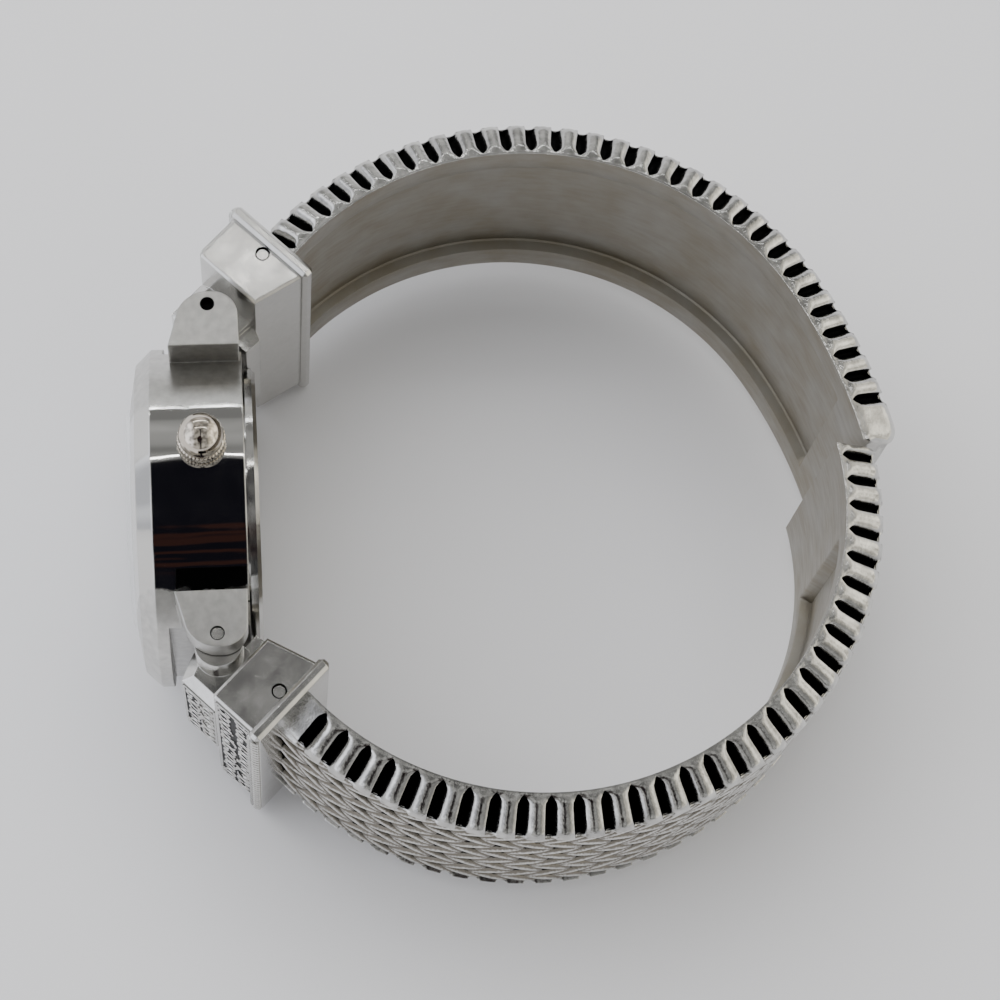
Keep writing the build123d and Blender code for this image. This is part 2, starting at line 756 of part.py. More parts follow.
with BuildPart() as cuff_upper:
    cuff_half(upper_back_radius, upper_end_x, upper_first_flute, upper_last_flute,
              upper_channel_margin, upper_nose_radius)
    # Bevel at the joint's inner corner
    inner_y = front_y + back_reach(upper_back_radius, upper_end_x, 0)
    with BuildSketch(middle):
        with BuildLine():
            Polyline((upper_end_x, inner_y + bevel_depth), (upper_end_x + bevel_length, inner_y - bevel_depth),
                     (upper_end_x, inner_y - bevel_depth), close=True)
        make_face()
    extrude(amount=overrun, both=True, mode=Mode.SUBTRACT)
    mirror(about=Plane.YZ, mode=Mode.REPLACE)
keep(cuff_upper.part, "cuff_upper")
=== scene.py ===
from math import acos, asin, cos, hypot, pi, radians, sin, sqrt

import bmesh
import bpy
from bpy.props import FloatProperty, IntProperty, PointerProperty, StringProperty
from mathutils import Matrix, Vector


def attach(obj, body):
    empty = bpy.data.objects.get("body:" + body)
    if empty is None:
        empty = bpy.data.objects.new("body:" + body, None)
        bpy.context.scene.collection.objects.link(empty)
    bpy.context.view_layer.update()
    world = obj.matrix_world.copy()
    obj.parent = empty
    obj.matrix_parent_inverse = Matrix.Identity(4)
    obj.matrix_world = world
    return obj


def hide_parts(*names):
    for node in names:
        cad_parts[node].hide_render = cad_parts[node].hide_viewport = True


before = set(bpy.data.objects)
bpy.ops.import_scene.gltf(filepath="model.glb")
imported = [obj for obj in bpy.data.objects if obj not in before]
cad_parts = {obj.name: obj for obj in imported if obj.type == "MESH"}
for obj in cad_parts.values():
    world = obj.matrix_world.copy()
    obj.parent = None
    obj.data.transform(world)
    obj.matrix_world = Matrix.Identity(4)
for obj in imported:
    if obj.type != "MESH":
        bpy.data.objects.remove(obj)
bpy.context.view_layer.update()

bl_info = {
    "name": "Cuff watch",
    "version": (1, 0, 0),
    "blender": (4, 5, 0),
    "location": "View3D > Sidebar > Cuff watch",
    "description": "Dresses the solids of a hinged cuff watch and lights them on a pale table",
    "category": "Add Mesh",
}

MM = 0.001


def length(name, description, millimetres):
    return FloatProperty(name=name, description=description, default=millimetres * MM, unit="LENGTH",
                         precision=5)


def angle(name, description, degrees_value):
    return FloatProperty(name=name, description=description, default=radians(degrees_value),
                         subtype="ANGLE")


def colour(name, description, default):
    return StringProperty(name=name, description=description + ", as sRGB hex", default=default)


class BraceletSizes(bpy.types.PropertyGroup):
    """Sizes of the two bracelet halves."""

    middle_z: length("Middle height", "From the table to the middle plane", 13.6)
    centre_x: length("Side arc centre, across", "From the middle line", 1.9)
    centre_y: length("Side arc centre, deep", "Along the depth", 1.52)
    side_radius: length("Side radius", "Inner radius of the side arcs", 24.3)
    lower_radius: length("Back radius at 6", "Inner radius of the lower half's back arc", 22.0)
    upper_radius: length("Back radius at 12", "Inner radius of the upper half's back arc", 42.0)
    start_angle: angle("Start angle", "Angle at the collar's face", -49.377)
    turn_angle: angle("Turn angle", "Angle where the side arc meets the back arc", 60.5)
    lower_end: length("Joint at 6", "Where the lower half ends at the joint", -0.65)
    upper_end: length("Joint at 12", "Where the upper half ends, before it is mirrored", 0.85)
    half_height: length("Half height", "Half of the height at the inner edge", 11.46)
    thickness: length("Thickness", "Radial thickness of the bracelet", 3.3)
    shoulder_drop: length("Shoulder drop", "How much lower the rim's outer corner is", 1.63)
    border: length("Border", "Width of the smooth border beside the plait", 0.4)
    bed_depth: length("Bed depth", "Depth of the plait's bed below the border", 0.8)
    channel_half: length("Channel half width", "Half width of the channel on the wrist side", 8.5)
    channel_depth: length("Channel depth", "Depth of the channel on the wrist side", 1.0)
    lower_margin: length("Channel margin at 6", "Plain stretch between channel and joint", 7.0)
    upper_margin: length("Channel margin at 12", "Plain stretch between channel and joint", 4.5)
    lower_nose: length("Nose at 6", "Rounded corner at the joint", 0.35)
    upper_nose: length("Nose at 12", "Rounded corner at the joint", 1.5)
    lower_bar: length("End bar at 6", "Width of the bar that ends the plait", 0.35)
    upper_bar: length("End bar at 12", "Width of the bar that ends the plait", 1.9)
    lower_bare: length("Plait's end at 6", "From the joint to the strands", 0.6)
    upper_bare: length("Plait's end at 12", "From the joint to the strands", 2.2)
    lower_first: length("First flute at 6", "From the collar to the first flute", 2.0)
    lower_last: length("Last flute at 6", "From the last flute to the joint", 1.0)
    upper_first: length("First flute at 12", "From the collar to the first flute", 0.8)
    upper_last: length("Last flute at 12", "From the last flute to the joint", 3.4)
    flutes: IntProperty(name="Flutes", description="Flutes along each rim", default=30)
    flute_depth: length("Flute depth", "Depth of a flute at its deepest place", 0.65)
    flute_taper: length("Flute taper", "Length over which a flute opens", 0.8)
    flute_strip: length("Edge strip", "Smooth strip inside the flutes", 0.3)
    strand_rows: IntProperty(name="Plait rows", description="Rows of strands across the plait", default=8)
    strand_width: length("Strand width", "Width of one strand of the plait", 1.34)
    strand_tilt: length("Strand tilt", "How much deeper one flank of a strand lies", 0.26)
    strand_angle: angle("Strand slant", "Slant of a strand against the bracelet's run", 40)


class LinkSizes(bpy.types.PropertyGroup):
    """Sizes of the two end links."""

    lean: angle("Lean", "Lean of the link away from the case", 45.0)
    box_start: length("Box start", "From the pin to the box", 2.83)
    box_end: length("Box end", "From the pin to the collar", 6.88)
    box_outer: length("Box outer face", "From the link's middle", 3.65)
    box_half: length("Box half height", "Half height of the box", 12.2)
    neck_start: length("Neck start", "From the pin to the neck's outer face", -0.5)
    neck_outer: length("Neck outer face", "From the link's middle", 3.4)
    neck_half: length("Neck half height", "Half height of the neck", 7.0)
    collar_outer: length("Collar outer face", "From the link's middle", 4.12)
    collar_thickness: length("Collar thickness", "Thickness of the collar", 1.05)
    collar_half: length("Collar half height", "Half height of the collar", 12.9)
    scroll_wire: length("Scroll width", "Width of the raised scroll lines", 0.2)
    scroll_pitch: length("Scroll pitch", "Distance from curl to curl", 1.5)
    edge: length("Edge", "Width of the links' broken edges", 0.2)
    reeds: IntProperty(name="Reeds", description="Fine reeds along the collar's edge", default=30)


class CrownSizes(bpy.types.PropertyGroup):
    """Sizes of the crown."""

    x: length("Across", "Axis from the middle line", -1.8)
    y: length("Deep", "Axis along the depth", -24.4276)
    base: length("Base", "Height of its lower face above the table", 27.25)
    top: length("Top", "Height of the ball's top above its base", 3.0)
    skirt_radius: length("Skirt radius", "Outer radius of the coin-edged skirt", 1.889)
    skirt_top: length("Skirt height", "Height of the skirt", 0.95)
    ball_radius: length("Ball radius", "Radius of the ball", 1.76)
    ridge_depth: length("Ridge depth", "Depth of the grooves between the ridges", 0.1)
    ridges: IntProperty(name="Ridges", description="Ridges round the skirt", default=38)


class CaseSizes(bpy.types.PropertyGroup):
    """Sizes of the case and its pins that the finishes follow."""

    axis_z: length("Axis height", "From the table to the dial's axis", 13.6)
    half_height: length("Half height", "Half of the case's height, past its lugs", 13.62)
    mirror_start: length("Mirror start", "Where the band's clear mirror starts, towards 12", -4.4)
    mirror_end: length("Mirror end", "Where the band's clear mirror ends, towards 6", 9.2)
    lug_root: length("Lug root", "Face where the lugs at 6 rise from the band", 9.85)
    lug_side: length("Lug side", "Outer side of the lugs along the depth", -26.86)
    lug_pin_x: length("Lug pin, across", "From the middle line", 13.26)
    lug_pin_y: length("Lug pin, deep", "Along the depth", -23.6776)
    # painted shade: black is painted round a lug pin within this radius
    lug_hole: length("Lug hole", "Radius that is blackened round a lug pin", 0.56)
    cuff_pin_x: length("Cuff pin, across", "From the middle line", 17.71)
    cuff_pin_y: length("Cuff pin, deep", "Along the depth", -19.22)
    # painted shade: a dark line is painted round a cuff pin at this radius
    cuff_hole: length("Cuff pin hole", "Radius of the line of dirt round a cuff pin", 0.53)
    # painted shade: the crystal is painted near black outside this radius
    crystal_rim: length("Crystal's rim", "Radius where the crystal's ground rim starts", 8.6)
    # painted shade: a dark line is painted round the crystal at this radius
    crystal_seat: length("Crystal's seat", "Radius of the dark line round the crystal", 9.2)


class FinishColours(bpy.types.PropertyGroup):
    """Colours of the finishes."""

    plate: colour("Bright plate", "Polished nickel plate", "#cfcecb")
    plate_warm: colour("Warm plate", "Thin plate over brass on crown and case back", "#d3cabd")
    wrist_side: colour("Wrist side", "Brushed and worn metal inside the bracelet", "#a4a19a")
    patina: colour("Patina", "Black antique finish in the hollows", "#060607")
    blued: colour("Blued steel", "Hands and hour markers", "#24356b")
    dial: colour("Dial", "Silver-white lacquer", "#dfe0de")
    # also painted as shade in the case's corners and holes, round the pins and round the crystal
    table: colour("Table", "Pale laminate", "#dcdcdf")
    brass: colour("Plated brass", "Movement plates", "#c8b184")
    brass_dark: colour("Dark brass", "Darker grain of the movement plates", "#b89f70")
    holder: colour("Holder", "Moulded spacer ring", "#e2e1dc")
    holder_dark: colour("Dark holder", "Darker mottling of the spacer ring", "#d5d4cf")


def settings(group):
    """One of the scene's groups of sizes or colours."""
    return getattr(bpy.context.scene, "cuff_watch_" + group)


def linear(hex_colour):
    """Linear colour of an sRGB hex value."""
    values = [int(hex_colour[place:place + 2], 16) / 255 for place in (1, 3, 5)]
    return [v / 12.92 if v <= 0.04045 else ((v + 0.055) / 1.055) ** 2.4 for v in values] + [1.0]


def darker(base, *shares):
    """A linear colour dimmed by one share, or by one for each channel."""
    shares = shares if len(shares) == 3 else shares * 3
    return [value * share for value, share in zip(base, shares)] + [1.0]


def add_node(tree, kind, sockets=(), **options):
    """Adds a node and sets its options. Its sockets, by name or else in order, take values, sockets
    or the first outputs of nodes."""
    node = tree.nodes.new("ShaderNode" + kind)
    for name, value in options.items():
        setattr(node, name, value)
    if not isinstance(sockets, dict):
        places = [place for place, socket in enumerate(node.inputs) if socket.enabled]
        sockets = dict(zip(places, sockets))
    for name, value in sockets.items():
        if isinstance(value, bpy.types.Node):
            value = [output for output in value.outputs if output.enabled][0]
        if isinstance(value, bpy.types.NodeSocket):
            tree.links.new(value, node.inputs[name])
        else:
            node.inputs[name].default_value = value
    return node


CLUMPS = (0.3, 0.7)  # most of a noise lies between these


def grain(tree, size_mm, detail=3.0, vector=None):
    """Noise whose clumps are about the given size."""
    vector = vector or add_node(tree, "TexCoord").outputs["Object"]
    return add_node(tree, "TexNoise", {"Vector": vector, "Scale": 1 / (size_mm * MM), "Detail": detail})


def mottled(tree, size_mm, low=0.0, high=1.0, detail=3.0):
    """A value that wanders between two others in clumps of about the given size."""
    return add_node(tree, "MapRange", (grain(tree, size_mm, detail), *CLUMPS, low, high))


def patchy(tree, size_mm, first, second, detail=3.0):
    """Two colours in clumps of about the given size."""
    share = mottled(tree, size_mm, detail=detail)
    return add_node(tree, "Mix", (share, first, second), data_type="RGBA")


def worn(tree, size_mm, hex_colour, share, detail=3.0):
    """A colour that is darker in clumps of about the given size."""
    base = linear(hex_colour)
    return patchy(tree, size_mm, base, darker(base, share), detail)


def relief(tree, size_mm, depth_mm, strength=1.0, detail=3.0, under=None):
    """Bumps of about the given size and depth, over another relief where there is one."""
    sockets = {"Height": grain(tree, size_mm, detail), "Distance": depth_mm * MM, "Strength": strength}
    if under:
        sockets["Normal"] = under
    return add_node(tree, "Bump", sockets)


def blackened(tree, share, plate, colours):
    """A plate with black over it where the share is 1: the antique blackening of the hollows, and painted
    shade in the corners, gaps and holes that some callers mask.
    """
    return add_node(tree, "Mix", (share, plate, linear(colours.patina)), data_type="RGBA")


def distance(tree, place, shift, scale):
    """How far a place lies from a centre, or from an axis whose direction is scaled to nothing."""
    moved = add_node(tree, "Mapping", {"Vector": place, "Location": shift, "Scale": scale})
    return add_node(tree, "VectorMath", (moved,), operation="LENGTH")


def pin_distance(tree, x, y):
    """Distance from the upright pins at this place, which lies at a negative depth, and its mirror."""
    place = add_node(tree, "TexCoord").outputs["Object"]
    place = add_node(tree, "VectorMath", (place,), operation="ABSOLUTE")
    return distance(tree, place, (-x, y, 0.0), (1.0, 1.0, 0.0))


def dial_distance(tree):
    """Distance from the axis that the hands turn about."""
    place = add_node(tree, "TexCoord").outputs["Object"]
    return distance(tree, place, (0.0, 0.0, -settings("case").axis_z), (1.0, 0.0, 1.0))


# Each finish gives the values and links of its material's shader.

def polished_nickel_plate(tree, colours):
    # Die-cast alloy, buffed and nickel plated: a mirror with faint ripple and worn patches
    return {"Metallic": 1.0, "Base Color": worn(tree, 4.0, colours.plate, 0.86),
            "Roughness": mottled(tree, 1.1, 0.1, 0.2), "Normal": relief(tree, 1.6, 0.012, 0.6, 2.0)}


def antique_nickel_plate(tree, colours):
    # Buffed plate whose hollows keep their blackening, rubbed off raggedly towards the ridges
    hollow = add_node(tree, "Attribute", attribute_name="hollow").outputs["Fac"]
    ragged = add_node(tree, "Math", (hollow, grain(tree, 0.15, 4.0)), operation="ADD")
    black = add_node(tree, "MapRange", (ragged, 0.95, 1.05))
    stain = add_node(tree, "MapRange", {"Value": hollow, "To Max": 1.6})
    plate = (stain, worn(tree, 1.1, colours.plate, 0.62), darker(linear(colours.plate), 0.3))
    plate = add_node(tree, "Mix", plate, data_type="RGBA")
    dull = add_node(tree, "Math", (black, 0.4, mottled(tree, 0.6, 0.12, 0.25)), operation="MULTIPLY_ADD")
    return {"Metallic": 1.0, "Base Color": blackened(tree, black, plate, colours), "Roughness": dull,
            "Normal": relief(tree, 0.35, 0.04, 0.7)}


def rubbed_plait_plate(tree, colours):
    # The plait: blackened all over, then rubbed, so that it is bright only along the strands' backs
    hollow = add_node(tree, "Attribute", attribute_name="hollow").outputs["Fac"]
    ragged = add_node(tree, "Math", (grain(tree, 0.2, 4.0), 0.4, hollow), operation="MULTIPLY_ADD")
    bright = add_node(tree, "MapRange", (ragged, 0.48, 0.32))
    black = add_node(tree, "MapRange", (ragged, 0.76, 0.9))
    base = linear(colours.plate)
    plate = add_node(tree, "Mix", (bright, darker(base, 0.28, 0.26, 0.23), base), data_type="RGBA")
    dull = add_node(tree, "Math", (black, 0.4, mottled(tree, 0.6, 0.14, 0.28)), operation="MULTIPLY_ADD")
    return {"Metallic": 1.0, "Base Color": blackened(tree, black, plate, colours), "Roughness": dull,
            "Normal": relief(tree, 0.3, 0.03, 0.6)}


def mirror_nickel_plate(tree, colours):
    # The case band and bezel: a clear mirror at the crown, dulled and mottled towards the hinges
    case = settings("case")
    base = linear(colours.plate)
    place = add_node(tree, "TexCoord").outputs["Object"]
    x, y, z = add_node(tree, "SeparateXYZ", (place,)).outputs
    across = add_node(tree, "Math", (grain(tree, 1.2, 2.0), 0.8 * MM, x), operation="MULTIPLY_ADD")
    dull_12 = add_node(tree, "MapRange", (across, case.mirror_start, case.mirror_start - 0.5 * MM))
    dull_6 = add_node(tree, "MapRange", (across, case.mirror_end, case.mirror_end + 0.2 * MM))
    dull = add_node(tree, "Math", (dull_12, dull_6), operation="MAXIMUM")
    plate = patchy(tree, 0.7, darker(base, 0.8), base, 4.0)
    plate = add_node(tree, "Mix", (dull, base, plate), data_type="RGBA")
    # painted shade: black is painted where shade falls, in the corners where the lugs at 6 rise from the
    # band, in the pins' holes and in a thin line round the crystal
    root = add_node(tree, "Math", (x, case.lug_root, 0.05 * MM), operation="COMPARE")
    face = add_node(tree, "Math", (z, case.axis_z, case.half_height), operation="COMPARE")
    lug = add_node(tree, "Math", (y, case.lug_side), operation="GREATER_THAN")
    pins = pin_distance(tree, case.lug_pin_x, case.lug_pin_y)
    hole = add_node(tree, "Math", (pins, case.lug_hole), operation="LESS_THAN")
    seat = add_node(tree, "Math", (dial_distance(tree), case.crystal_seat, 0.1 * MM), operation="COMPARE")
    black = root
    for mask, operation in ((face, "MULTIPLY"), (lug, "MULTIPLY"), (hole, "MAXIMUM"), (seat, "MAXIMUM")):
        black = add_node(tree, "Math", (black, mask), operation=operation)
    rough = add_node(tree, "Math", (dull, 0.27, mottled(tree, 2.2, 0.03, 0.06)), operation="MULTIPLY_ADD")
    edges = add_node(tree, "Bevel", (0.16 * MM,), samples=6)
    return {"Metallic": 1.0, "Base Color": blackened(tree, black, plate, colours), "Roughness": rough,
            "Normal": relief(tree, 3.4, 0.03, 0.5, 1.0, edges)}


def warm_nickel_plate(tree, colours):
    # Thin plate over brass, turned and buffed: a slightly warm mirror
    return {"Metallic": 1.0, "Base Color": worn(tree, 1.5, colours.plate_warm, 0.8),
            "Roughness": mottled(tree, 0.8, 0.06, 0.14)}


def cast_nickel_plate(tree, colours):
    # The flat sides of the links as cast and plated: satin, with small pits
    case = settings("case")
    base = linear(colours.plate)
    plate = patchy(tree, 0.5, darker(base, 0.93), base, 4.0)
    # painted shade: a dark line painted round each cuff pin, where its gap is shaded
    pins = pin_distance(tree, case.cuff_pin_x, case.cuff_pin_y)
    line = add_node(tree, "Math", (pins, case.cuff_hole, 0.06 * MM), operation="COMPARE")
    # die-cast faces are never quite flat
    waves = relief(tree, 3.5, 0.14, 0.35, 1.0, add_node(tree, "Bevel", (0.12 * MM,), samples=6))
    return {"Metallic": 1.0, "Base Color": blackened(tree, line, plate, colours),
            "Roughness": mottled(tree, 2.4, 0.15, 0.26), "Normal": relief(tree, 0.5, 0.006, 0.4, 4.0, waves)}


def brushed_worn_metal(tree, colours):
    # The wrist side, brushed along the bracelet and dulled by wear: grey-brown satin streaks
    place = add_node(tree, "TexCoord").outputs["Object"]
    streaks = add_node(tree, "Mapping", {"Vector": place, "Scale": (0.22, 0.22, 1.0)})
    streaks = grain(tree, 0.5, 4.0, streaks.outputs[0])
    base = linear(colours.wrist_side)
    stained = (mottled(tree, 3.2, 0.0, 0.8, 5.0), base, darker(base, 0.8, 0.74, 0.62))
    return {"Metallic": 1.0, "Base Color": add_node(tree, "Mix", stained, data_type="RGBA"),
            "Roughness": add_node(tree, "MapRange", (streaks, *CLUMPS, 0.34, 0.5)),
            "Normal": add_node(tree, "Bump", {"Height": streaks, "Distance": 0.025 * MM, "Strength": 0.5})}


def black_patina(tree, colours):
    # Antique blackening left in the hollows: dull black with a few rubbed specks; also painted on the lug
    # pin at 12 as shade deep in its hole
    specks = add_node(tree, "MapRange", (grain(tree, 0.14, 2.0), 0.66, 0.74))
    tint = (specks, linear(colours.patina), (0.05, 0.05, 0.052, 1.0))
    return {"Roughness": 0.55, "Specular IOR Level": 0.3,
            "Base Color": add_node(tree, "Mix", tint, data_type="RGBA"), "Normal": relief(tree, 0.2, 0.05)}


def mineral_glass(tree, colours):
    # Flat mineral crystal: clear, with a dull ground rim painted near black as shade
    start = settings("case").crystal_rim
    rim = add_node(tree, "MapRange", (dial_distance(tree), start, start + 0.1 * MM))
    tint = (rim, (0.97, 0.985, 0.975, 1.0), (0.03, 0.035, 0.035, 1.0))
    haze = mottled(tree, 2.0, 0.0, 0.02)
    return {"Transmission Weight": 1.0, "IOR": 1.52,
            "Base Color": add_node(tree, "Mix", tint, data_type="RGBA"),
            "Roughness": add_node(tree, "Math", (rim, 0.5, haze), operation="MULTIPLY_ADD")}


def silver_lacquer(tree, colours):
    # Dial lacquer over brushed metal: silver-white with a fine grain
    return {"Metallic": 0.35, "Roughness": 0.38, "Coat Weight": 0.3,
            "Base Color": worn(tree, 0.12, colours.dial, 0.9, 2.0)}


def plated_brass(tree, colours):
    # Movement plates and bars: gold-coloured plated brass with a fine grain
    tint = patchy(tree, 0.25, linear(colours.brass), linear(colours.brass_dark), 2.0)
    return {"Metallic": 1.0, "Base Color": tint, "Roughness": mottled(tree, 0.25, 0.22, 0.34, 2.0)}


def blued_steel(tree, colours):
    # Hands and markers of steel, polished and heated until they turn blue
    return {"Metallic": 1.0, "Base Color": worn(tree, 0.8, colours.blued, 0.6),
            "Roughness": mottled(tree, 0.4, 0.12, 0.22)}


def moulded_holder_plastic(tree, colours):
    # Moulded spacer ring: matt white plastic with a trace of moulding texture
    tint = patchy(tree, 0.3, linear(colours.holder), linear(colours.holder_dark), 2.0)
    return {"Roughness": 0.5, "Base Color": tint}


def table_laminate(tree, colours):
    # Pale smooth laminate table: nearly even, with the slightest mottling
    return {"Roughness": 0.62, "Base Color": worn(tree, 28.0, colours.table, 0.985, 2.0)}


def finish(maker):
    """The material named as the finish that it shows, made once."""
    name = maker.__name__
    if name not in bpy.data.materials:
        material = bpy.data.materials.new(name)
        material.use_nodes = True
        tree = material.node_tree
        tree.nodes.clear()
        shader = add_node(tree, "BsdfPrincipled", maker(tree, settings("colours")))
        add_node(tree, "OutputMaterial", {"Surface": shader})
    return bpy.data.materials[name]


def eased(value, start, run):
    """0 up to the start, 1 once past the run, and a smooth rise between."""
    share = min(max((value - start) / run, 0.0), 1.0)
    return share * share * (3 - 2 * share)


def new_piece(name, body, mesh, makers, sharp_degrees=35):
    """An object from a bmesh, shaded smooth between its sharp edges, riding on a body."""
    data = bpy.data.meshes.new(name)
    mesh.to_mesh(data)
    mesh.free()
    for maker in makers:
        data.materials.append(finish(maker))
    data.shade_smooth()
    data.set_sharp_from_angle(angle=radians(sharp_degrees))
    piece = bpy.data.objects.new(name, data)
    bpy.context.scene.collection.objects.link(piece)
    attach(piece, body)
    return piece


def paint_nodes(maker, *nodes):
    """Gives nodes of the solids a finish."""
    for node in nodes:
        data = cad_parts[node].data
        data.materials.clear()
        data.materials.append(finish(maker))


def round_edges(node, width):
    """Breaks a node's sharp edges so that they catch the light."""
    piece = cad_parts[node]
    weld = piece.modifiers.new("join", "WELD")
    weld.merge_threshold = 0.002 * MM
    bevel = piece.modifiers.new("broken edges", "BEVEL")
    bevel.width = width
    bevel.segments = 3
    bevel.limit_method = "ANGLE"
    bevel.angle_limit = radians(32)
    bevel.harden_normals = True


SQUARED_END = 4 * MM  # length over which the columns turn upright at the joint


class HalfPath:
    """Inner curve of one bracelet half, from the collar to the joint."""

    def __init__(self, upper):
        sizes = settings("bracelet")
        self.sizes = sizes
        self.upper = upper
        self.mirror = -1 if upper else 1
        half = "upper_" if upper else "lower_"
        for name in ("radius", "end", "first", "last", "margin", "nose", "bar", "bare"):
            setattr(self, name, getattr(sizes, half + name))
        turn = sizes.turn_angle
        shift = self.radius - sizes.side_radius
        self.back_x = sizes.centre_x - shift * cos(turn)
        self.back_y = sizes.centre_y - shift * sin(turn)
        self.side_length = sizes.side_radius * (turn - sizes.start_angle)
        self.end_angle = acos((self.end - self.back_x) / self.radius)
        self.length = self.side_length + self.radius * (self.end_angle - turn)
        self.pitch = (self.length - self.first - self.last) / (sizes.flutes - 1)

    def place(self, along, out, height):
        """A point at a distance along the curve, outward from it and up from the middle."""
        sizes = self.sizes
        if along > self.length - SQUARED_END:
            # The end is flat and upright, not square to the curve
            share = (along - self.length + SQUARED_END) / SQUARED_END
            end = acos((self.end - self.back_x) / (self.radius + out))
            along += share * (end - self.end_angle) * self.radius
        if along < self.side_length:
            turn = sizes.start_angle + along / sizes.side_radius
            x, y, reach = sizes.centre_x, sizes.centre_y, sizes.side_radius + out
        else:
            turn = sizes.turn_angle + (along - self.side_length) / self.radius
            x, y, reach = self.back_x, self.back_y, self.radius + out
        return Vector((self.mirror * (x + reach * cos(turn)), y + reach * sin(turn),
                       sizes.middle_z + height))


# Across one pitch of the rim, from a rib's crisp edge: share of the pitch, height, blackening
RIM_PROFILE = (
    (0.0, 0.05, 0.0), (0.012, -0.12, 0.9), (0.04, -0.75, 1.0), (0.085, -1.0, 1.0), (0.19, -1.0, 1.0),
    (0.265, -0.86, 1.0), (0.32, -0.6, 0.85), (0.38, -0.28, 0.5), (0.44, 0.02, 0.1), (0.54, 0.22, 0.0),
    (0.66, 0.34, 0.0), (0.78, 0.33, 0.0), (0.88, 0.24, 0.0), (0.97, 0.13, 0.0))
GROOVE_MIDDLE = 0.19  # share of the pitch
GROOVE_END = 0.44
RIM_EDGES = (0.0, 0.3, 0.65)  # shares of the plain stretch at the collar
CHANNEL_START, CHANNEL_RUN = 1.7 * MM, 0.5 * MM  # where the channel opens, and over which length

# Down the shoulder from the inner edge
SHOULDER_STEPS = [step * MM for step in (0.03, 0.14, 0.28, 0.38, 0.5, 0.68, 0.9, 1.25, 1.7, 2.2, 2.65,
                                         2.95, 3.15, 3.3, 3.43, 3.55)]
RIB_START, RIB_RUN = 0.15 * MM, 0.7 * MM  # ribs rise here
GROOVE_RUN = 0.22 * MM  # grooves deepen over this, from the edge strip
GROOVE_FADE, FADE_RUN = 3.15 * MM, 0.35 * MM  # and grow shallower here
BLACK_FADE = 3.4 * MM  # where their blackening ends
CORNER_START = 2.85 * MM  # the outer corner is well rounded
EDGE_END = 0.2 * MM  # and the inner edge a little
BORDER_ROWS = ((0.03, 0.23, 0.42), (0.0, 0.31, 0.34), (0.1, 0.39, 0.15))  # drop, height, scallop


def half_columns(path):
    """Columns of the sweep: number of the pitch, share of it, height and blackening."""
    columns = [(-1, share, 0.0, 0.0) for share in RIM_EDGES]
    last = path.sizes.flutes - 1
    for index in range(path.sizes.flutes):
        columns += [(index,) + item for item in RIM_PROFILE if index < last or item[0] <= GROOVE_END]
    count = 12 if path.upper else 4
    columns += [(last + 1, step / count, 0.2 if step < count else 0.0, 0.0) for step in range(1, count + 1)]
    return columns


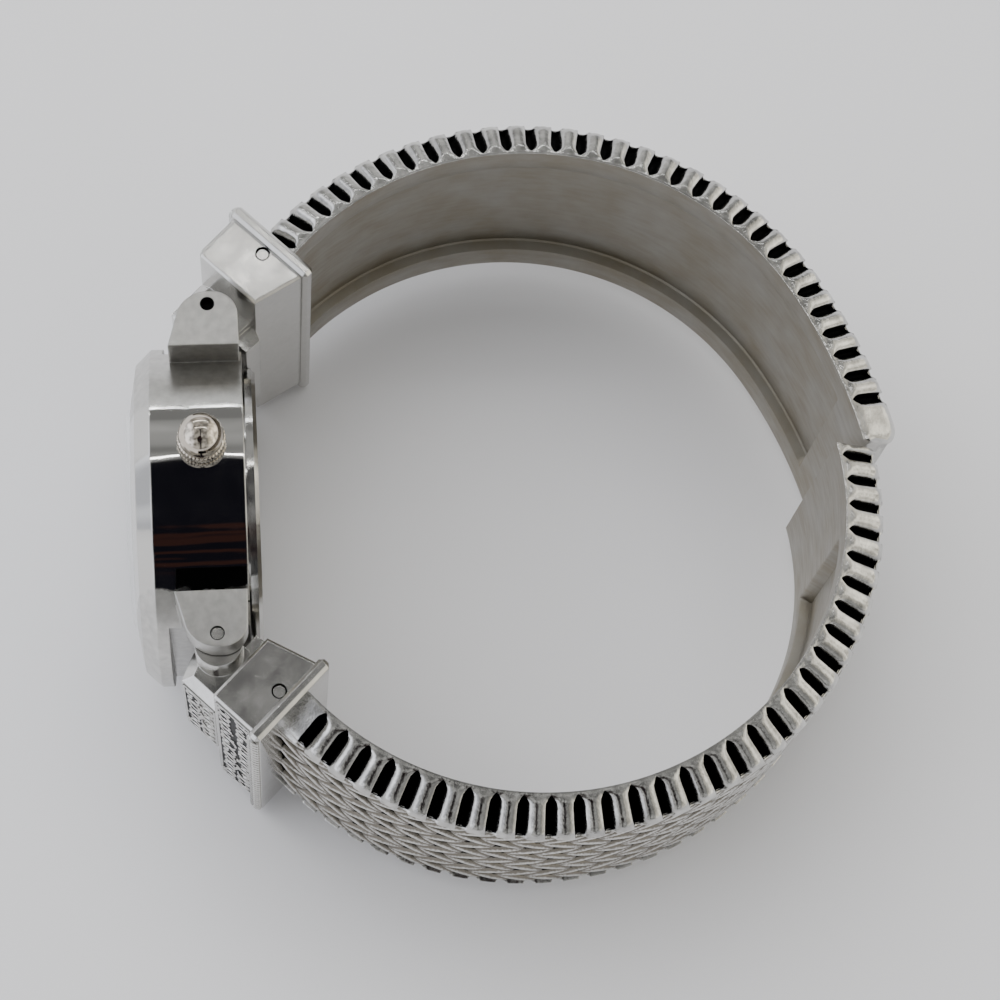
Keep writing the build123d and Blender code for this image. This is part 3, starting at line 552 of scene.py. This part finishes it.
def half_mesh(path):
    """One bracelet half as a sweep whose columns follow the flutes."""
    sizes = path.sizes
    slope = hypot(sizes.thickness, sizes.shoulder_drop)
    lean_out = sizes.thickness / slope
    lean_down = sizes.shoulder_drop / slope
    border_z = sizes.half_height - sizes.shoulder_drop
    bed_out = sizes.thickness - sizes.bed_depth
    bar_rise = sizes.bed_depth - 0.2 * MM
    columns = half_columns(path)
    rim_start = path.first - GROOVE_MIDDLE * path.pitch
    mesh = bmesh.new()
    hollow = mesh.verts.layers.float.new("hollow")

    def rim_share(share, down):
        # a flute is pointed at its inner end
        opening = min(max((down - sizes.flute_strip) / sizes.flute_taper, 0.0), 1.0)
        width = 0.1 + 0.9 * (1 - (1 - opening) ** 1.6) ** 0.8
        if share <= GROOVE_END:
            return GROOVE_MIDDLE + (share - GROOVE_MIDDLE) * width
        left = GROOVE_MIDDLE + (GROOVE_END - GROOVE_MIDDLE) * width
        right = 1 + GROOVE_MIDDLE * (1 - width)
        return left + (share - GROOVE_END) / (1 - GROOVE_END) * (right - left)

    def along_at(column, down):
        index, share = column[:2]
        if index < 0:
            return share * (rim_start + rim_share(0.0, down) * path.pitch)
        if index < sizes.flutes:
            return rim_start + (index + rim_share(share, down)) * path.pitch
        left = rim_start + (sizes.flutes - 1 + rim_share(GROOVE_END, down)) * path.pitch
        return left + share * (path.length - left)

    def nose_at(along):
        # how far the outer face falls where the end is rounded
        left = path.length - along
        if left >= path.nose:
            return 0.0
        return path.nose - sqrt(max(path.nose ** 2 - (path.nose - left) ** 2, 0.0))

    def channel_at(along):
        start = eased(along, CHANNEL_START, CHANNEL_RUN)
        return sizes.channel_depth * start * eased(path.length - along, path.margin, CHANNEL_RUN)

    def shoulder_point(column, down, up):
        amount = column[2]
        along = along_at(column, down)
        out = down * lean_out
        height = sizes.half_height - down * lean_down
        if amount < 0:
            depth = eased(down, sizes.flute_strip, GROOVE_RUN)
            depth *= 1 - 0.7 * eased(down, GROOVE_FADE, FADE_RUN)
        else:
            depth = eased(down, RIB_START, RIB_RUN)
        lift = amount * sizes.flute_depth * depth
        lift -= max(down - CORNER_START, 0.0) ** 2 / (2.2 * MM)
        lift -= max(EDGE_END - down, 0.0) ** 2 / (0.5 * MM)
        out += lift * lean_down
        height += lift * lean_out
        out -= nose_at(along) * min(out / sizes.thickness, 1.0)
        return path.place(along, max(out, 0.0), up * height)

    def outer_point(column, out, height, up, scallop):
        along = along_at(column, slope)
        out -= scallop * max(-column[2], 0.0) + nose_at(along)
        return path.place(along, out, up * height)

    def black_at(column, down):
        start = eased(down, sizes.flute_strip, 0.1 * MM)
        return column[3] * start * (1 - eased(down, BLACK_FADE, 0.15 * MM))

    def end_bar(column):
        # the plait ends at a plain bar across the half's end
        return 1.0 - eased(path.length - along_at(column, slope), path.bar, 0.12 * MM)

    def inner_point(column, depth_share, height, up):
        along = along_at(column, 0.0)
        left = path.length - along
        # the upper half's inner edge is bevelled at the joint
        bevel = 0.5 * MM * max(1 - left / (1.3 * MM), 0.0) if path.upper else 0.0
        return path.place(along, max(channel_at(along) * depth_share, bevel), up * height)

    def side_rows(up):
        # each row: its kind, its points, and their blackening
        wall = sizes.channel_half
        plain = [0.0] * len(columns)
        rows = [("inner", [inner_point(c, share, height, up) for c in columns], plain)
                for share, height in (
                    (1.0, 0.0), (1.0, wall * 0.5), (1.0, wall - 0.25 * MM), (0.85, wall - 0.08 * MM),
                    (0.3, wall), (0.05, wall + 0.06 * MM), (0.0, wall + 0.2 * MM),
                    (0.0, wall + 1.6 * MM), (0.0, sizes.half_height - 0.1 * MM))]
        rows += [("shoulder", [shoulder_point(c, down, up) for c in columns],
                  [black_at(c, down) for c in columns]) for down in SHOULDER_STEPS]
        for drop, height, scallop in BORDER_ROWS:
            rows.append(("border", [outer_point(c, sizes.thickness - drop * MM, border_z - height * MM, up,
                                                scallop * MM) for c in columns], plain))
        bars = [end_bar(c) for c in columns]
        for height in (border_z - sizes.border - 0.08 * MM, border_z * 0.66, border_z * 0.33, 0.0):
            rows.append(("bed", [outer_point(c, bed_out + bar * bar_rise, height, up, 0.0)
                                 for c, bar in zip(columns, bars)], [1.0 - bar for bar in bars]))
        return rows

    near = side_rows(1)
    ring = near + side_rows(-1)[-2:0:-1]
    verts = []
    for _, points, blackening in ring:
        verts.append([mesh.verts.new(point) for point in points])
        for vert, value in zip(verts[-1], blackening):
            vert[hollow] = value
    for row in range(len(ring)):
        other = (row + 1) % len(ring)
        pair = {ring[row][0], ring[other][0]}
        for place in range(len(columns) - 1):
            quad = (verts[row][place], verts[row][place + 1], verts[other][place + 1],
                    verts[other][place])
            face = mesh.faces.new(quad if path.mirror > 0 else quad[::-1])
            face.material_index = 1 if pair <= {"inner"} else 0
    for place in (0, -1):
        loop = [verts[row][place] for row in range(len(ring))]
        if (place == 0) == (path.mirror > 0):
            loop = loop[::-1]
        mesh.faces.new(loop)
    bmesh.ops.recalc_face_normals(mesh, faces=mesh.faces)
    return mesh


LEAF_OVERLAP = 0.25 * MM  # how far strands run under the next row
LEAF_FACES = (10, 8)  # along and across a strand


def strand_mesh(path):
    """The plait's strands: rows of slanted leaves, each row slanting against the next."""
    sizes = path.sizes
    bed_half = sizes.half_height - sizes.shoulder_drop - sizes.border
    row_height = 2 * bed_half / sizes.strand_rows
    base = sizes.thickness - sizes.bed_depth
    rise = sizes.bed_depth - 0.1 * MM
    reach = row_height * 0.5 + LEAF_OVERLAP
    run = reach * cos(sizes.strand_angle) / sin(sizes.strand_angle)
    low, high = 0.1 * MM, path.length - path.bare
    mesh = bmesh.new()
    hollow = mesh.verts.layers.float.new("hollow")
    along_steps, across_steps = LEAF_FACES
    for row in range(sizes.strand_rows):
        middle = -bed_half + (row + 0.5) * row_height
        slant = -1 if row % 2 == 0 else 1
        for index in range(-1, sizes.flutes + 2):
            centre = path.first + (index + 0.5) * path.pitch
            if centre < low or centre > high:
                continue
            grid = []
            for i in range(along_steps + 1):
                u = -1 + 2 * i / along_steps
                # a leaf tapers to its ends, dives under its neighbours there and bends a little
                taper = max(1 - abs(u) ** 2.4, 0.0) ** 0.6
                width = sizes.strand_width * 0.5 * (0.12 + 0.88 * taper)
                normal = Vector((-slant * reach, run)).normalized()
                line = []
                for j in range(across_steps + 1):
                    v = -1 + 2 * j / across_steps
                    crown = 1 - abs(v) ** 1.6
                    a = run * u * (1.25 - 0.25 * u * u) + normal[0] * v * width
                    z = slant * reach * u + normal[1] * v * width
                    out = base + rise * crown * (0.5 + 0.5 * taper)
                    out = min(out - slant * v * sizes.strand_tilt * crown, sizes.thickness - 0.02 * MM)
                    place = min(max(centre + a, low), high)
                    z = min(max(middle + z, -bed_half - 0.05 * MM), bed_half + 0.05 * MM)
                    vert = mesh.verts.new(path.place(place, out, z))
                    height = (out - base) / rise
                    vert[hollow] = min(max(1.3 - 1.25 * height, 0.0), 1.0)
                    line.append(vert)
                grid.append(line)
            for i in range(along_steps):
                for j in range(across_steps):
                    quad = (grid[i][j], grid[i + 1][j], grid[i + 1][j + 1], grid[i][j + 1])
                    mesh.faces.new(quad if (path.mirror > 0) == (slant > 0) else quad[::-1])
    bmesh.ops.remove_doubles(mesh, verts=mesh.verts, dist=0.0005 * MM)
    return mesh


def tube(mesh, points, radius, sides=8, flat=1.0, up=None):
    """A round tube along points, closed at both ends by a cap."""
    rings = []
    turns = [2 * pi * k / sides for k in range(sides)]
    for index, point in enumerate(points):
        before = points[max(index - 1, 0)]
        after = points[min(index + 1, len(points) - 1)]
        run = (after - before).normalized()
        side = run.cross(up).normalized() if up else run.orthogonal().normalized()
        rise = side.cross(run).normalized()
        rings.append([mesh.verts.new(point + side * (radius * cos(turn))
                                     + rise * (radius * flat * sin(turn))) for turn in turns])
    for first, second in zip(rings, rings[1:]):
        for k in range(sides):
            mesh.faces.new((first[k], first[(k + 1) % sides], second[(k + 1) % sides], second[k]))
    mesh.faces.new(rings[0][::-1])
    mesh.faces.new(rings[-1])


def link_point(side, along, wristward, height):
    """A point in a link's own frame: along it from the pin, towards the wrist, and up."""
    case, lean = settings("case"), settings("links").lean
    x = case.lug_pin_x + along * cos(lean) - wristward * sin(lean)
    y = case.lug_pin_y + along * sin(lean) + wristward * cos(lean)
    return Vector((side * x, y, case.axis_z + height))


class CUFFWATCH_OT_bracelet(bpy.types.Operator):
    """Sweeps the two bracelet halves with their fluted rims and plaited face"""

    bl_idname = "cuffwatch.bracelet"
    bl_label = "Bracelet halves"

    def execute(self, context):
        for upper, node, body in ((False, "cuff_lower", "half_6"), (True, "cuff_upper", "half_12")):
            path = HalfPath(upper)
            shell = new_piece(node + "_shell", body, half_mesh(path),
                              (antique_nickel_plate, brushed_worn_metal), 40)
            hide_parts(node)
            plait = new_piece(node + "_plait", body, strand_mesh(path), (rubbed_plait_plate,), 80)
        return {"FINISHED"}


CURL_POINTS = 15
CURL_TURNS, CURL_CLOSING = 0.95, 0.62  # turns of a curl, and how much it closes in


class CUFFWATCH_OT_links(bpy.types.Operator):
    """Finishes the two end links and adds their scrollwork and reeded collars"""

    bl_idname = "cuffwatch.links"
    bl_label = "End links"

    def execute(self, context):
        sizes = settings("links")
        for side, clock, body in ((1, "6", "half_6"), (-1, "12", "half_12")):
            paint_nodes(cast_nickel_plate, "end_link_" + clock, "cuff_pin_" + clock)
            round_edges("end_link_" + clock, sizes.edge)
            self.scrolls(side, clock, body, sizes)
            self.reeds(side, clock, body, sizes)
        return {"FINISHED"}

    def scrolls(self, side, clock, body, sizes):
        """Raised curling lines over a blackened ground on the outer faces"""
        mesh = bmesh.new()
        ground = bmesh.new()
        wire = sizes.scroll_wire / 2
        panels = ((sizes.box_start + 0.55 * MM, sizes.box_end - 0.15 * MM, sizes.box_outer,
                   sizes.box_half - 0.45 * MM),
                  (sizes.neck_start, sizes.box_start - 0.15 * MM, sizes.neck_outer,
                   sizes.neck_half - 1.1 * MM))
        for start, end, face, half in panels:
            def on_face(share, height, lift=0.0):
                return link_point(side, start + share * (end - start), -face - lift, height)

            corners = ((0, -half), (1, -half), (1, half), (0, half))
            top, bottom = ([ground.verts.new(on_face(*corner, lift)) for corner in corners]
                           for lift in (0.02 * MM, -0.05 * MM))
            ground.faces.new(top)
            ground.faces.new(bottom[::-1])
            for k in range(4):
                ground.faces.new((top[k], bottom[k], bottom[(k + 1) % 4], top[(k + 1) % 4]))
            lift_way = (on_face(0, 0, MM) - on_face(0, 0)).normalized()
            rim = [on_face(*corner, 0.06 * MM) for corner in corners + corners[:1]]
            for first, second in zip(rim, rim[1:]):
                tube(mesh, [first, second], wire, up=lift_way)
            rows = round(2 * half / sizes.scroll_pitch)
            for index in range(2 * rows):
                row, column = divmod(index, 2)
                # each curl is turned and sized a little differently
                chance = (index * 37 % 29) / 29
                flip = 1 if (row + column) % 2 else -1
                size = sizes.scroll_pitch * (0.5 + 0.12 * chance)
                middle = (column + 0.5) / 2
                height = -half + (row + 0.25 + 0.5 * column) * 2 * half / rows
                curl = []
                for k in range(CURL_POINTS):
                    t = k / (CURL_POINTS - 1)
                    turn = 2 * pi * (chance + CURL_TURNS * t)
                    reach = size * (1 - CURL_CLOSING * t)
                    share = middle + reach * cos(turn) * flip / (end - start)
                    level = min(max(height + reach * sin(turn), wire - half), half - wire)
                    curl.append(on_face(min(max(share, 0.03), 0.97), level, 0.08 * MM))
                tube(mesh, curl, wire * (0.8 + 0.3 * chance), 6, 0.9, lift_way)
        lines = new_piece("scrolls_" + clock, body, mesh, (polished_nickel_plate,), 60)
        plates = new_piece("scroll_ground_" + clock, body, ground, (black_patina,))

    def reeds(self, side, clock, body, sizes):
        """Fine reeds along the collar's outer edge"""
        mesh = bmesh.new()
        span = 2 * (sizes.collar_half - 0.5 * MM)
        pitch = span / sizes.reeds
        mid = sizes.box_end + sizes.collar_thickness / 2
        for index in range(sizes.reeds):
            height = -span / 2 + (index + 0.5) * pitch
            points = []
            for k in range(7):
                t = -1 + k / 3
                points.append(link_point(side, mid + t * 0.4 * MM,
                                         -sizes.collar_outer + 0.16 * MM * t * t + 0.03 * MM,
                                         height - 0.1 * MM * t * t))
            tube(mesh, points, pitch * 0.36, 8)
        piece = new_piece("reeds_" + clock, body, mesh, (polished_nickel_plate,), 60)


class CUFFWATCH_OT_case(bpy.types.Operator):
    """Finishes the case, crystal, back, crown and hinge pins"""

    bl_idname = "cuffwatch.case"
    bl_label = "Case and crown"

    def execute(self, context):
        paint_nodes(mirror_nickel_plate, "case_body")
        paint_nodes(polished_nickel_plate, "case_back")
        paint_nodes(mineral_glass, "crystal")
        crown = new_piece("crown_knob", "crown_knob", self.crown(settings("crown")),
                          (warm_nickel_plate,), 50)
        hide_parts("crown")
        paint_nodes(cast_nickel_plate, "crown_tube", "winding_stem", "lug_pin_6", "closing_spring_6",
                    "closing_spring_12")
        # painted shade: this pin sits deep in its hole, and is painted black for the shade there
        paint_nodes(black_patina, "lug_pin_12")
        return {"FINISHED"}

    def crown(self, sizes):
        """The crown, turned: a coin-edged skirt and a ball above it"""
        skirt, top, ball = sizes.skirt_radius, sizes.skirt_top, sizes.ball_radius
        ball_height = sizes.top - ball
        neck = sqrt(ball ** 2 - (ball_height - top) ** 2)
        # radius, height and share of the ridges' depth
        profile = [(0.0, 0.0, 0), (skirt * 0.9, 0.0, 0), (skirt * 0.97, 0.06 * MM, 0.4),
                   (skirt, 0.14 * MM, 1), (skirt, top * 0.8, 1), (skirt * 0.97, top * 0.9, 0.5),
                   (neck * 0.95, top * 0.96, 0), (neck, top, 0)]
        start = asin((top - ball_height) / ball)
        for step in range(1, 16):
            turn = start + (pi / 2 - start) * step / 16
            profile.append((ball * cos(turn), ball_height + ball * sin(turn), 0))
        profile.append((0.0, sizes.top, 0))
        mesh = bmesh.new()
        around = sizes.ridges * 4
        rings = []
        for radius, height, ridge in profile:
            if radius == 0.0:
                rings.append([mesh.verts.new((sizes.x, sizes.y, sizes.base + height))] * around)
                continue
            ring = []
            for step in range(around):
                turn = 2 * pi * step / around
                reach = radius - ridge * sizes.ridge_depth * (0.0, 0.5, 1.0, 0.5)[step % 4]
                ring.append(mesh.verts.new((sizes.x + reach * cos(turn), sizes.y + reach * sin(turn),
                                            sizes.base + height)))
            rings.append(ring)
        for low, high in zip(rings, rings[1:]):
            for step in range(around):
                following = (step + 1) % around
                corners = (low[step], low[following], high[following], high[step])
                mesh.faces.new([c for k, c in enumerate(corners) if c not in corners[:k]])
        return mesh


class CUFFWATCH_OT_dial(bpy.types.Operator):
    """Finishes the dial, its markers, the hands and the sealed inner pieces"""

    bl_idname = "cuffwatch.dial"
    bl_label = "Dial, hands and movement"

    def execute(self, context):
        paint_nodes(silver_lacquer, "dial", "dial_ring")
        paint_nodes(blued_steel, "hour_markers", "hour_hand", "minute_hand", "second_hand")
        paint_nodes(polished_nickel_plate, "battery")
        paint_nodes(plated_brass, "movement")
        paint_nodes(moulded_holder_plastic, "movement_holder")
        return {"FINISHED"}


# Light of the room, in linear colours
WALL, LEFT_GLOW, RIGHT_GLOW = (0.5, 0.5, 0.49, 1.0), (1.5, 1.54, 1.66, 1.0), (1.62, 1.55, 1.36, 1.0)
STREAK, STREAK_BROWN = (0.008, 0.008, 0.012, 1.0), (0.04, 0.018, 0.015, 1.0)
LAMPS = (  # name, place, length and width, power, tint, and whether polished faces show it
    ("ceiling_tube", (-0.325, 0.0, 0.79), (0.9, 0.012), 0.5, (1.0, 0.99, 0.97), True),
    ("far_tube", (-0.81, 0.0, 0.45), (1.0, 0.014), 0.7, (0.97, 0.99, 1.0), True),
    ("ceiling", (-0.45, -0.3, 1.1), (1.6, 1.6), 20.5, (1.0, 1.0, 1.0), False))
TABLE_HALF = 1.2
AIM_HEIGHT = 13 * MM
LENS, SENSOR = 97.55, 36.0  # millimetres
CAMERA_PLACE = Vector((65.96, -20.66, 224.17)) * MM
CAMERA_RIGHT = Vector((0.0617, 0.9952, 0.0756)).normalized()
CAMERA_BACK = Vector((0.2998, -0.0907, 0.9497)).normalized()


class CUFFWATCH_OT_stage(bpy.types.Operator):
    """Sets the table, the soft lights and the camera"""

    bl_idname = "cuffwatch.stage"
    bl_label = "Table, lights and camera"

    def execute(self, context):
        self.table(context.scene)
        self.room(context.scene)
        self.lamps(context.scene)
        self.camera(context.scene)
        return {"FINISHED"}

    def table(self, scene):
        mesh = bmesh.new()
        bmesh.ops.create_grid(mesh, x_segments=8, y_segments=8, size=TABLE_HALF)
        data = bpy.data.meshes.new("table")
        mesh.to_mesh(data)
        mesh.free()
        data.materials.append(finish(table_laminate))
        piece = bpy.data.objects.new("table", data)
        scene.collection.objects.link(piece)

    def room(self, scene):
        """A pale, uneven room with bright sides and a dark streak overhead, which the band mirrors"""
        world = bpy.data.worlds.new("room")
        scene.world = world
        world.use_nodes = True
        tree = world.node_tree
        tree.nodes.clear()
        way = add_node(tree, "TexCoord").outputs["Generated"]
        across, deep, _ = add_node(tree, "SeparateXYZ", (way,)).outputs
        aside = add_node(tree, "Math", (deep, 0.02), operation="ADD")
        aside = add_node(tree, "Math", (aside,), operation="ABSOLUTE")
        start = add_node(tree, "MapRange", (across, -0.37, -0.34))
        side = add_node(tree, "MapRange", (aside, 0.06, 0.04))
        streak = add_node(tree, "Math", (start, side), operation="MULTIPLY")
        # the streak widens in the middle, as the crown's ball shows
        patch = distance(tree, way, (-2.15, 0.42, 0.0), (3.7, 4.2, 0.0))
        patch = add_node(tree, "MapRange", (patch, 1.0, 0.75))
        streak = add_node(tree, "Math", (streak, patch), operation="MAXIMUM")
        # wavy brown bands run across its middle
        wobble = add_node(tree, "TexNoise", {"Vector": way, "Scale": 4.0})
        bands = add_node(tree, "Math", (wobble, 4.0, across), operation="MULTIPLY_ADD")
        bands = add_node(tree, "Math", (bands, 9.0), operation="MULTIPLY")
        bands = add_node(tree, "Math", (bands,), operation="SINE")
        bands = add_node(tree, "MapRange", (bands, 0.1, 0.7))
        for clear, full in ((0.3, 0.36), (0.84, 0.78)):
            edge = add_node(tree, "MapRange", (across, clear, full))
            bands = add_node(tree, "Math", (bands, edge), operation="MULTIPLY")
        dark = add_node(tree, "Mix", (bands, STREAK, STREAK_BROWN), data_type="RGBA")
        walls = WALL
        for clear, full, glow in ((-0.5, -0.7, LEFT_GLOW), (0.5, 0.7, RIGHT_GLOW)):
            side = add_node(tree, "MapRange", (deep, clear, full))
            walls = add_node(tree, "Mix", (side, walls, glow), data_type="RGBA")
        patches = add_node(tree, "TexNoise", {"Vector": way, "Scale": 2.6, "Detail": 1.5})
        patches = add_node(tree, "MapRange", (patches, 0.4, 0.6, 0.5, 1.45))
        walls = add_node(tree, "VectorMath", (walls, patches), operation="SCALE")
        room = add_node(tree, "Mix", (streak, walls, dark), data_type="RGBA")
        background = add_node(tree, "Background", {"Color": room, "Strength": 1.0})
        add_node(tree, "OutputWorld", {"Surface": background})

    def lamps(self, scene):
        for name, place, size, power, tint, glossy in LAMPS:
            light = bpy.data.lights.new(name, "AREA")
            light.energy = power
            light.color = tint
            light.shape = "RECTANGLE"
            light.size, light.size_y = size
            lamp = bpy.data.objects.new(name, light)
            lamp.location = place
            lamp.visible_glossy = glossy
            aim = Vector((0, 0, AIM_HEIGHT)) - Vector(place)
            lamp.rotation_euler = aim.to_track_quat("-Z", "Y").to_euler()
            scene.collection.objects.link(lamp)

    def camera(self, scene):
        data = bpy.data.cameras.new("camera")
        data.lens = LENS
        data.sensor_width = SENSOR
        data.clip_start = 0.01
        camera = bpy.data.objects.new("camera", data)
        up = CAMERA_BACK.cross(CAMERA_RIGHT).normalized()
        right = up.cross(CAMERA_BACK).normalized()
        turned = Matrix((right, up, CAMERA_BACK)).transposed()
        camera.matrix_world = Matrix.Translation(CAMERA_PLACE) @ turned.to_4x4()
        scene.collection.objects.link(camera)
        scene.camera = camera


STEPS = (CUFFWATCH_OT_case, CUFFWATCH_OT_dial, CUFFWATCH_OT_links, CUFFWATCH_OT_bracelet,
         CUFFWATCH_OT_stage)


class CUFFWATCH_PT_panel(bpy.types.Panel):
    """Lists the steps that dress the cuff watch"""

    bl_idname = "CUFFWATCH_PT_panel"
    bl_label = "Cuff watch"
    bl_space_type = "VIEW_3D"
    bl_region_type = "UI"
    bl_category = "Cuff watch"

    def draw(self, context):
        for step in STEPS:
            self.layout.operator(step.bl_idname)


GROUPS = {"bracelet": BraceletSizes, "links": LinkSizes, "crown": CrownSizes, "case": CaseSizes,
          "colours": FinishColours}
CLASSES = (*GROUPS.values(), *STEPS, CUFFWATCH_PT_panel)


def register():
    for item in CLASSES:
        bpy.utils.register_class(item)
    for name, kind in GROUPS.items():
        setattr(bpy.types.Scene, "cuff_watch_" + name, PointerProperty(type=kind))


def unregister():
    for name in GROUPS:
        delattr(bpy.types.Scene, "cuff_watch_" + name)
    for item in reversed(CLASSES):
        bpy.utils.unregister_class(item)


def main():
    register()
    for step in STEPS:
        getattr(bpy.ops.cuffwatch, step.bl_idname.split(".")[1])()


if __name__ == "__main__":
    main()
